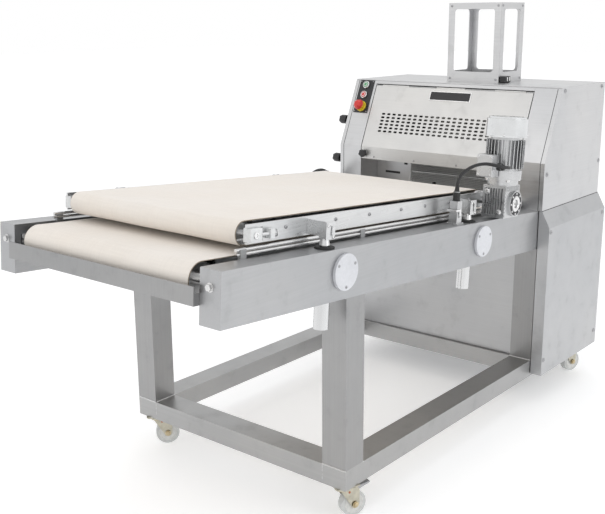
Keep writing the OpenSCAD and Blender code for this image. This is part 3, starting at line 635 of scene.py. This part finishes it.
WIRE = 0.0010
WIRE_PITCH = 0.0062
WIRE_BENDS = 112
v, fc = [], []
rows = int(acc / WIRE_PITCH)
for i in range(rows + 1):
    c, d = mat_at(i * WIRE_PITCH)
    tube_into(v, fc, [c + X * -0.165, c + X * 0.225], WIRE, 5)
for i in range(rows):
    pts = []
    for k in range(WIRE_BENDS + 1):
        x = -0.163 + 0.386 * k / WIRE_BENDS
        c, d = mat_at((i + (0.0 if k % 2 else 1.0)) * WIRE_PITCH)
        nrm = d.cross(X)
        pts.append(c + X * x + nrm * (0.0011 if k % 2 else -0.0011))
    tube_into(v, fc, pts, WIRE, 4)
woven = finish_mesh("woven_outlet_mat", v, fc, "wire", "machine")
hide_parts("curling_mat")
v, fc = [], []
BAR_S = 1.628
tube_into(v, fc, [st(-0.3307, BAR_S, 0.811), st(0.3307, BAR_S, 0.811)], 0.006, 16)
for i in range(14):
    x = -0.155 + 0.37 * i / 13
    angles = [2 * math.pi * k / 14 for k in range(14)]
    loop = [st(x, BAR_S, 0.8105) + Vector((0, math.sin(a), math.cos(a))) * 0.0072 for a in angles]
    tube_into(v, fc, loop, 0.001, 6, True)
finish_mesh("mat_bar", v, fc, "turned", "machine")

# ---------------------------------------------------------------- screws and fasteners
side = []
for s, z in [(1.657, 1.096), (1.965, 1.094), (1.552, 0.824), (1.982, 0.822)]:
    side.append((st(SIDE_X, s, z), X))
for s, z in [(1.545, 0.63), (1.979, 0.63), (1.545, 0.17), (1.977, 0.166)]:
    side.append((st(0.4595, s, z), X))
lathes("cover_screws", both(side), dome(0.0058, 0.0032), "screw", "machine", 18)
lathes("cover_screw_washers", both([(c + n * 0.0002, n) for c, n in side]), washer(0.008, 0.0055, 0.001),
    "screw", "machine", 20)

back = [(st(x, 1.993, z), Y) for x in (-0.405, -0.135, 0.135, 0.405) for z in (0.722, 1.088)]
back += [(st(x, 1.994, z), Y) for x in (-0.385, -0.128, 0.128, 0.385) for z in (0.190, 0.430, 0.675)]
lathes("back_screws", back, dome(0.0058, 0.0032), "screw", "machine", 18)

discs = []
for s in DISC_STATIONS:
    for a in (30, 150, 270):
        cos, sin = math.cos(math.radians(a)), math.sin(math.radians(a))
        discs.append((sl(0.4252, s + 0.039 * cos, -0.061 + 0.039 * sin), X))
lathes("disc_screws", both(discs), dome(0.0042, 0.0016), "screw", "machine", 18)

plate_screws = []
for s in (0.30, 0.50, 0.65, 0.805, 0.93, 1.065, 1.19):
    plate_screws.append((sl(0.340, s, 0.058), X))
lathes("side_plate_screws", both(plate_screws), dome(0.0052, 0.003), "screw", "upper_conveyor",
    18)
hexes("belt_tension_nuts", both([(sl(0.3476, 0.252, UPPER_H), ALONG)]), 0.0078, 0.006, "chrome",
    "upper_conveyor")
AXLE_CAP = [
    (0, -0.001), (0.0085, -0.001), (0.0085, 0.002), (0.0078, 0.003), (0.0045, 0.003), (0.004, 0.0015),
    (0, 0.0015),
]
lathes("nose_axle_caps", both([(sl(0.350, UPPER_FRONT, UPPER_H), X)]), AXLE_CAP, "chrome", "upper_conveyor",
    24)
bracket = [(sl(0.402, s + d, h), X) for s in POST_STATIONS for d, h in ((-0.010, 0.06), (0.010, 0.030))]
lathes("bracket_bolts", both(bracket), dome(0.0048, 0.004), "chrome", "upper_conveyor", 18)

tower_pts = []
for x in (-0.0655, 0.1255):
    for z in (1.119, 1.380):
        tower_pts.append((st(x, 1.729, z), -Y))
        tower_pts.append((st(x, 1.905, z), Y))
for y in (1.742, 1.892):
    for z in (1.119, 1.380):
        tower_pts.append((st(0.1375, y, z), X))
        tower_pts.append((st(-0.0775, y, z), -X))
lathes("tower_screws", tower_pts, dome(0.0045, 0.0022), "screw", "machine", 16)

# flange screws, mouldings and plugs of the gearmotor
gm = []
for a in range(45, 361, 45):
    cos, sin = math.cos(math.radians(a)), math.sin(math.radians(a))
    gm.append((sl(GEAR_X, UPPER_REAR + 0.032 * cos, UPPER_H + 0.032 * sin), X))
lathes("gearbox_flange_screws", gm, dome(0.0036, 0.003), "chrome", "upper_conveyor", 14)
BORE_RING = [
    (0.0135, -0.004), (0.024, -0.004), (0.024, 0.0015), (0.0215, 0.003), (0.0165, 0.003), (0.0135, 0.001),
    (0.0135, -0.004),
]
SHAFT_END = [
    (0, -0.002), (0.0122, -0.002), (0.0122, 0.004), (0.0112, 0.005), (0.004, 0.005), (0.0036, 0.002),
    (0, 0.002),
]
gear_face = [(sl(GEAR_X, UPPER_REAR, UPPER_H), X)]
lathes("gearbox_bore_ring", gear_face, BORE_RING, "chrome", "upper_conveyor", 36)
lathes("shaft_end", [(sl(0.449, UPPER_REAR, UPPER_H), X)], SHAFT_END, "chrome", "upper_drive_roller",
       28)
v, fc = [], []
for k in range(13):
    block_into(v, fc, sl(0.4495, 1.2225 + 0.0072 * k, 0.0985), X, ALONG, UP, (0.003, 0.0032, 0.015), 0.0006)
for k in range(7):
    block_into(v, fc, sl(0.4495, 1.2235, 0.014 + 0.012 * k), X, ALONG, UP, (0.003, 0.007, 0.005), 0.0006)
    block_into(v, fc, sl(0.4495, 1.3095, 0.014 + 0.012 * k), X, ALONG, UP, (0.003, 0.006, 0.005), 0.0006)
finish_mesh("gearbox_ribs", v, fc, "cast", "upper_conveyor", False)
hexes("gearbox_plugs", [(sl(0.3885, 1.2142, 0.088), -ALONG), (sl(0.4335, 1.2142, 0.026), -ALONG)], 0.0068,
    0.005, "chrome", "upper_conveyor")
fb = []
for a in range(45, 360, 90):
    cos, sin = math.cos(math.radians(a)), math.sin(math.radians(a))
    fb.append((sl(MOTOR_X + 0.050 * cos, MOTOR_S + 0.050 * sin, 0.128), -UP))
hexes("motor_flange_bolts", fb, 0.006, 0.007, "chrome", "upper_conveyor")
tb = []
for x in (0.384, 0.424):
    for h in (0.145, 0.199):
        tb.append((sl(x, 1.154, h), -ALONG))
lathes("terminal_box_screws", tb, dome(0.0034, 0.002), "chrome", "upper_conveyor", 14)
blocks("terminal_box_lid", [(sl(0.404, 1.157, 0.172), X, UP, ALONG, (0.0525, 0.0665, 0.006))], "cast",
    "upper_conveyor", 0.0015)
cs = []
for a in (20, 110, 200, 290):
    cos, sin = math.cos(math.radians(a)), math.sin(math.radians(a))
    cs.append((sl(MOTOR_X + 0.064 * cos, MOTOR_S + 0.064 * sin, 0.266), Vector((cos, 0, 0)) + ALONG * sin))
lathes("cowl_screws", cs, dome(0.0034, 0.0018), "chrome", "upper_conveyor", 14)
v, fc = [], []
COWL_RIM = [(0.0638, 0), (0.0652, 0.0), (0.0652, 0.003), (0.0640, 0.0042), (0.0638, 0.0)]
lathe_into(v, fc, sl(MOTOR_X, MOTOR_S, 0.2583), UP, COWL_RIM, 64)
finish_mesh("cowl_rim", v, fc, "cowl", "upper_conveyor")

# dark strips painted as shade in the recesses between the casting's ribs, and a dark ring painted as shade
# inside its output flange
recess = []
for k in range(7):
    recess.append((sl(0.3840 + 0.009 * k, 1.2179, 0.058), X, UP, ALONG, (0.0036, 0.082, 0.0010)))
blocks("gearbox_rib_painted_shade", recess, "dark", "upper_conveyor", 0.0002)
FLANGE_SHADE_RING = [(0.0255, -0.002), (0.0370, -0.002), (0.0370, 0.0004), (0.0255, 0.0004), (0.0255, -0.002)]
lathes("gearbox_flange_painted_shade_ring", gear_face, FLANGE_SHADE_RING, "dark", "upper_conveyor", 40)

# connector: ribs, base screws and the nut of its gland
v, fc = [], []
for k in range(4):
    block_into(v, fc, sl(PLUG_X, PLUG_S - 0.0132, 0.046 + 0.006 * k), X, UP, ALONG, (0.018, 0.0022, 0.001),
        0.0003)
    block_into(v, fc, sl(PLUG_X + 0.0132, PLUG_S, 0.046 + 0.006 * k), ALONG, UP, X, (0.018, 0.0022, 0.001),
        0.0003)
finish_mesh("connector_ribs", v, fc, "cast", "machine", False)
corners = [(dx, ds) for dx in (-0.0165, 0.0165) for ds in (-0.0165, 0.0165)]
plug_screws = [(sl(PLUG_X + dx, PLUG_S + ds, 0.004), UP) for dx, ds in corners]
lathes("connector_base_screws", plug_screws, dome(0.0022, 0.0014), "chrome", "machine", 12)
hexes("connector_gland", [(sl(PLUG_X, PLUG_S, 0.070), UP)], 0.0094, 0.007, "black", "machine")

# ---------------------------------------------------------------- head details
SLOPE_AXES = (X, OUT.cross(X), OUT)
blocks("blank_plate_back", [(fr(0.006, -0.0009, 0.2145), *SLOPE_AXES, (0.172, 0.036, 0.0018))], "chrome",
    "guard", 0.0004)
blocks("blank_plate", [(fr(0.006, -0.0021, 0.2145), *SLOPE_AXES, (0.165, 0.030, 0.0012))], "black", "guard",
    0.0004)
BEZEL = [
    (0.0102, -0.004), (0.0145, -0.004), (0.0145, 0.0), (0.0132, 0.0016), (0.0112, 0.0016), (0.0102, 0.0),
    (0.0102, -0.004),
]
CAP = [(0, -0.001), (0.0094, -0.001), (0.0094, 0.0), (0.0086, 0.0008), (0, 0.001)]
MARK = [(0.0062, -0.0008), (0.0080, -0.0008), (0.0080, 0.0009), (0.0062, 0.0009), (0.0062, -0.0008)]
COLLAR = [
    (0.0135, -0.0045), (0.0208, -0.0045), (0.0208, 0.0), (0.0195, 0.0015), (0.0145, 0.0015), (0.0135, 0.001),
    (0.0135, -0.0045),
]
NECK = [
    (0.0087, -0.006), (0.0134, -0.006), (0.0134, 0.0), (0.0124, 0.0012), (0.0087, 0.0012), (0.0087, -0.006),
]


def on_plate(name, us, a, profile, mat, body, seg):
    """turned pieces on the control plate, at heights us up the slope"""
    lathes(name, [(fr(BUTTON_X, a, u), OUT) for u in us], profile, mat, body, seg)


on_plate("start_bezel", (START_U, STOP_U), -0.0078, BEZEL, "chrome", "machine", 32)
on_plate("start_cap", (START_U,), -0.0095, CAP, "green", "start_button", 28)
on_plate("stop_cap", (STOP_U,), -0.0095, CAP, "red", "stop_button", 28)
on_plate("start_mark", (START_U,), -0.0100, MARK, "white", "start_button", 28)
on_plate("stop_mark", (STOP_U,), -0.0100, MARK, "white", "stop_button", 28)
on_plate("estop_collar", (ESTOP_U,), -0.006, COLLAR, "yellow", "machine", 40)
on_plate("estop_neck", (ESTOP_U,), -0.012, NECK, "yellow", "machine", 32)
plate = [(fr(x, -0.002, u), OUT) for x in (-0.402, -0.347) for u in (0.137, 0.257)]
lathes("plate_screws", plate, dome(0.0026, 0.0014), "screw", "machine", 12)

# rivets of the guard's lip, rings under the knobs and the panel knobs' rounded caps
rivets = [(st(x, HEAD_S, 0.8265), -Y) for x in (-0.27, -0.09, 0.09, 0.27)]
lathes("guard_lip_rivets", rivets, dome(0.0036, 0.0014), "screw", "guard", 14)
lathes("guard_knob_ring", [(st(-0.314, HEAD_S, 0.838), -Y)], washer(0.0115, 0.0092, 0.0012), "chrome",
       "guard", 24)
knobs = [(st(-SIDE_X, s, z), -X) for _, s, z in PANEL_KNOBS]
lathes("panel_knob_rings", knobs, washer(0.0125, 0.0086, 0.0012), "chrome", "machine", 24)
KNOB_CAP = [
    (0, -0.031), (0.0155, -0.031), (0.0170, -0.028), (0.0172, -0.006), (0.0150, -0.0015), (0.0100, 0.0006),
    (0, 0.0010),
]
for knob, s, z in PANEL_KNOBS:
    lathes(knob + "_cap", [(st(-0.4739, s, z), -X)], KNOB_CAP, "black", knob, 24)

# safety switch at the tower's foot
blocks("tower_switch", [
    (st(0.150, 1.757, 1.120), X, Y, Z, (0.022, 0.046, 0.022)),
    (st(0.148, 1.7845, 1.118), X, Y, Z, (0.014, 0.009, 0.014)),
], "black", "machine", 0.002)
blocks("tower_switch_key", [
    (st(0.150, 1.7935, 1.121), X, Y, Z, (0.004, 0.012, 0.016)),
    (st(0.1625, 1.749, 1.121), X, Y, Z, (0.003, 0.008, 0.014)),
    (st(0.1625, 1.766, 1.121), X, Y, Z, (0.003, 0.008, 0.014)),
], "chrome", "machine", 0.0006)

# dark strips painted as the shade in the head's gaps: along the guard's top edge, down both corner strips and
# over the side covers
blocks("guard_top_painted_gap_shade", [(fr(0, -0.0002, 0.2500), *SLOPE_AXES, (0.655, 0.0024, 0.0012))], "black_soft",
    "guard", 0.0002)
CORNER_X = 0.41365
seams = []
for sx in (-1, 1):
    seams.append((fr(sx * CORNER_X, 0.0002, 0.131), *SLOPE_AXES, (0.0020, 0.262, 0.0012)))
    seams.append((st(sx * CORNER_X, 1.5312, 0.782), X, Z, Y, (0.0020, 0.160, 0.0012)))
blocks("head_corner_painted_gap_shade", seams, "black_soft", "machine", 0.0002)
covers = [(st(sx * 0.4298, 1.762, 0.7008), X, Y, Z, (0.0012, 0.458, 0.0018)) for sx in (-1, 1)]
blocks("side_cover_painted_gap_shade", covers, "black_soft", "machine", 0.0002)

# slot and catch on the inner wall, and a fixing on the mat
blocks("inner_wall_slot", [
    (st(-0.255, 1.6395, 0.756), X, Y, Z, (0.068, 0.0016, 0.0085)),
    (st(-0.195, 1.6393, 0.795), X, Y, Z, (0.014, 0.003, 0.010)),
], "black", "machine", 0.0005)
FIXING = [(0, -0.004), (0.0062, -0.004), (0.0062, 0.003), (0.0052, 0.0045), (0, 0.0045)]
lathes("mat_fixing", [(st(-0.048, 1.6095, 0.736), -Y)], FIXING, "black", "machine", 20)

# bright guide rods beside the belts, and the dark seals where the posts leave the beams
v, fc = [], []
for sx in (-1, 1):
    for x, h, rad in ((0.344, 0.020, 0.0047), (0.3455, 0.010, 0.0042)):
        tube_into(v, fc, [sl(sx * x, 0.1195, h), sl(sx * x, 1.5255, h)], rad, 14)
finish_mesh("guide_rods", v, fc, "chrome", "machine")
seal = [(sl(POST_X, s, 0.0), UP) for s in POST_STATIONS]
POST_SEAL = [
    (0.0122, 0.0001), (0.0262, 0.0001), (0.0262, 0.0036), (0.0246, 0.0050), (0.0150, 0.0056),
    (0.0122, 0.0050), (0.0122, 0.0001),
]
lathes("post_seals", both(seal), POST_SEAL, "black_soft", "machine", 36)

# ---------------------------------------------------------------- weld beads on the stand
RAIL_TOP = 0.163
v, fc = [], []


def bead(a, b):
    """adds a slightly uneven weld bead from a to b"""
    n = max(4, int((b - a).length / 0.004))
    pts = []
    for i in range(n + 1):
        p = a + (b - a) * (i / n)
        shake = Vector((random.uniform(-1, 1), random.uniform(-1, 1), random.uniform(-1, 1)))
        pts.append(p + shake * 0.0003)
    tube_into(v, fc, pts, 0.0022, 7)


for sx in (-1, 1):
    for s0, s1 in ((0.448, 0.528), (1.531, 1.611)):
        bead(st(sx * 0.337, s0, RAIL_TOP), st(sx * 0.337, s1, RAIL_TOP))
        bead(st(sx * 0.337, s1, RAIL_TOP), st(sx * 0.417, s1, RAIL_TOP))
        bead(st(sx * 0.337, s0, RAIL_TOP), st(sx * 0.417, s0, RAIL_TOP))
        bead(st(sx * 0.337, s0 + 0.002, 0.106), st(sx * 0.337, s0 + 0.002, 0.161))
        bead(st(sx * 0.337, s1, 0.106), st(sx * 0.337, s1, 0.161))
    for s0 in (0.448, 0.528):
        zb = TABLE_Z - BEAM_H / math.cos(TILT) - s0 * math.tan(TILT)
        bead(st(sx * 0.338, s0, zb), st(sx * 0.416, s0, zb))
finish_mesh("weld_beads", v, fc, "plate", "machine")

# ---------------------------------------------------------------- casters
CASTERS = (  # name, x, station, swivel in degrees
    ("front_right", 0.377, 0.488, 23), ("front_left", -0.377, 0.488, 40),
    ("rear_right", 0.377, 1.911, 20), ("rear_left", -0.377, 1.911, 35),
)
WHEEL_TRAIL, WHEEL_Z = 0.030, 0.0375
WHEEL_CORE = [
    (0.0125, 0.0), (0.0285, 0.0), (0.0285, 0.0012), (0.0265, 0.0018), (0.0255, 0.0006), (0.0165, 0.0004),
    (0.0150, 0.0022), (0.0125, 0.0024), (0.0125, 0.0),
]
SWIVEL_RACE = [
    (0, -0.001), (0.0235, -0.001), (0.0235, 0.001), (0.021, 0.0025), (0.011, 0.003), (0.0095, 0.0045),
    (0, 0.0045),
]
for key, x, s, ang in CASTERS:
    a = math.radians(ang)
    lx = Vector((math.cos(a), -math.sin(a), 0))
    ly = Vector((math.sin(a), math.cos(a), 0))
    c = st(x, s, 0)
    hub = c + ly * WHEEL_TRAIL + Z * WHEEL_Z
    body = "wheel_" + key
    v, fc = [], []
    for sgn in (-1, 1):
        lathe_into(v, fc, hub + lx * sgn * 0.0117, lx * sgn, WHEEL_CORE, 40)
    finish_mesh("wheel_core_" + key, v, fc, "hub", body)
    fork = "caster_" + key
    nuts = [(hub + lx * 0.0208, lx), (hub - lx * 0.0208, -lx)]
    hexes("axle_nut_" + key, nuts, 0.0068, 0.005, "zinc", fork)
    v, fc = [], []
    lathe_into(v, fc, c + Z * 0.0865, -Z, SWIVEL_RACE, 32)
    finish_mesh("swivel_race_" + key, v, fc, "zinc", fork)
    rivets = [(c + lx * sgn * 0.018 + ly * 0.012 + Z * 0.078, lx * sgn) for sgn in (-1, 1)]
    lathes("swivel_rivet_" + key, rivets, dome(0.0036, 0.0016), "copper", fork, 14)
    bolts = []
    for dx in (-0.027, 0.027):
        for dy in (-0.027, 0.027):
            bolts.append((c + lx * dx + ly * dy + Z * 0.101, -Z))
    hexes("plate_bolts_" + key, bolts, 0.0062, 0.0048, "zinc_pale", "machine")
    if key.endswith("right"):
        v, fc = [], []
        for k in range(5):
            rib = c + ly * (0.050 + 0.0055 * k) + Z * (0.0912 + 0.00095 * k)
            block_into(v, fc, rib, lx, ly, Z, (0.022, 0.0022, 0.0022), 0.0006)
        pedal = "brake_pedal_" + key.split("_")[0]
        finish_mesh("pedal_grip_" + key, v, fc, "chrome", pedal, False)

# ---------------------------------------------------------------- light, floor and surroundings
FLOOR = 30
FLOOR_GLOW = 0.28
me = bpy.data.meshes.new("floor")
me.from_pydata([(-FLOOR, -FLOOR, 0), (FLOOR, -FLOOR, 0), (FLOOR, FLOOR, 0), (-FLOOR, FLOOR, 0)], [],
    [(0, 1, 2, 3)])
floor = bpy.data.objects.new("floor", me)
bpy.context.collection.objects.link(floor)
fm, _, fbs = nodes_of("pale_floor")
fbs.inputs["Base Color"].default_value = (0.93, 0.93, 0.93, 1)
fbs.inputs["Roughness"].default_value = 0.8
fbs.inputs["Specular IOR Level"].default_value = 0.2
fbs.inputs["Emission Color"].default_value = (1, 1, 1, 1)
fbs.inputs["Emission Strength"].default_value = FLOOR_GLOW
me.materials.append(fm)

w = bpy.data.worlds.new("studio")
bpy.context.scene.world = w
w.use_nodes = True
wt = w.node_tree
bg = wt.nodes["Background"]
tc = wt.nodes.new("ShaderNodeTexCoord")
sep = wt.nodes.new("ShaderNodeSeparateXYZ")
wt.links.new(tc.outputs["Generated"], sep.inputs[0])
SKY = [  # white up to the horizon, then the studio's greys
    (0.0, (1.0, 1.0, 1.0)), (0.53, (1.0, 1.0, 1.0)), (0.60, (0.70, 0.705, 0.715)),
    (0.80, (0.74, 0.74, 0.745)), (1.0, (0.90, 0.90, 0.91)),
]
cr = ramp(wt, sep.outputs["Z"], SKY)
wt.links.new(cr.outputs["Color"], bg.inputs["Color"])
bg.inputs["Strength"].default_value = 1.0


def area(name, loc, target, size, power, col):
    """a rectangular light at loc, turned to the target"""
    d = bpy.data.lights.new(name, "AREA")
    d.shape = "RECTANGLE"
    d.size, d.size_y = size
    d.energy = power
    d.color = col
    o = bpy.data.objects.new(name, d)
    bpy.context.collection.objects.link(o)
    o.location = loc
    o.rotation_euler = (Vector(target) - Vector(loc)).to_track_quat("-Z", "Y").to_euler()


area("key_soft", (-1.6, -3.2, 3.0), (0, 0, 0.7), (2.4, 1.8), 12, (1.0, 0.975, 0.95))
area("side_soft", (3.8, 0.6, 2.2), (0, 0.2, 0.7), (2.4, 2.0), 20, (0.95, 0.975, 1.0))
area("top_soft", (0.0, 0.2, 3.6), (0, 0.1, 0.7), (3.0, 3.0), 14, (1.0, 1.0, 1.0))
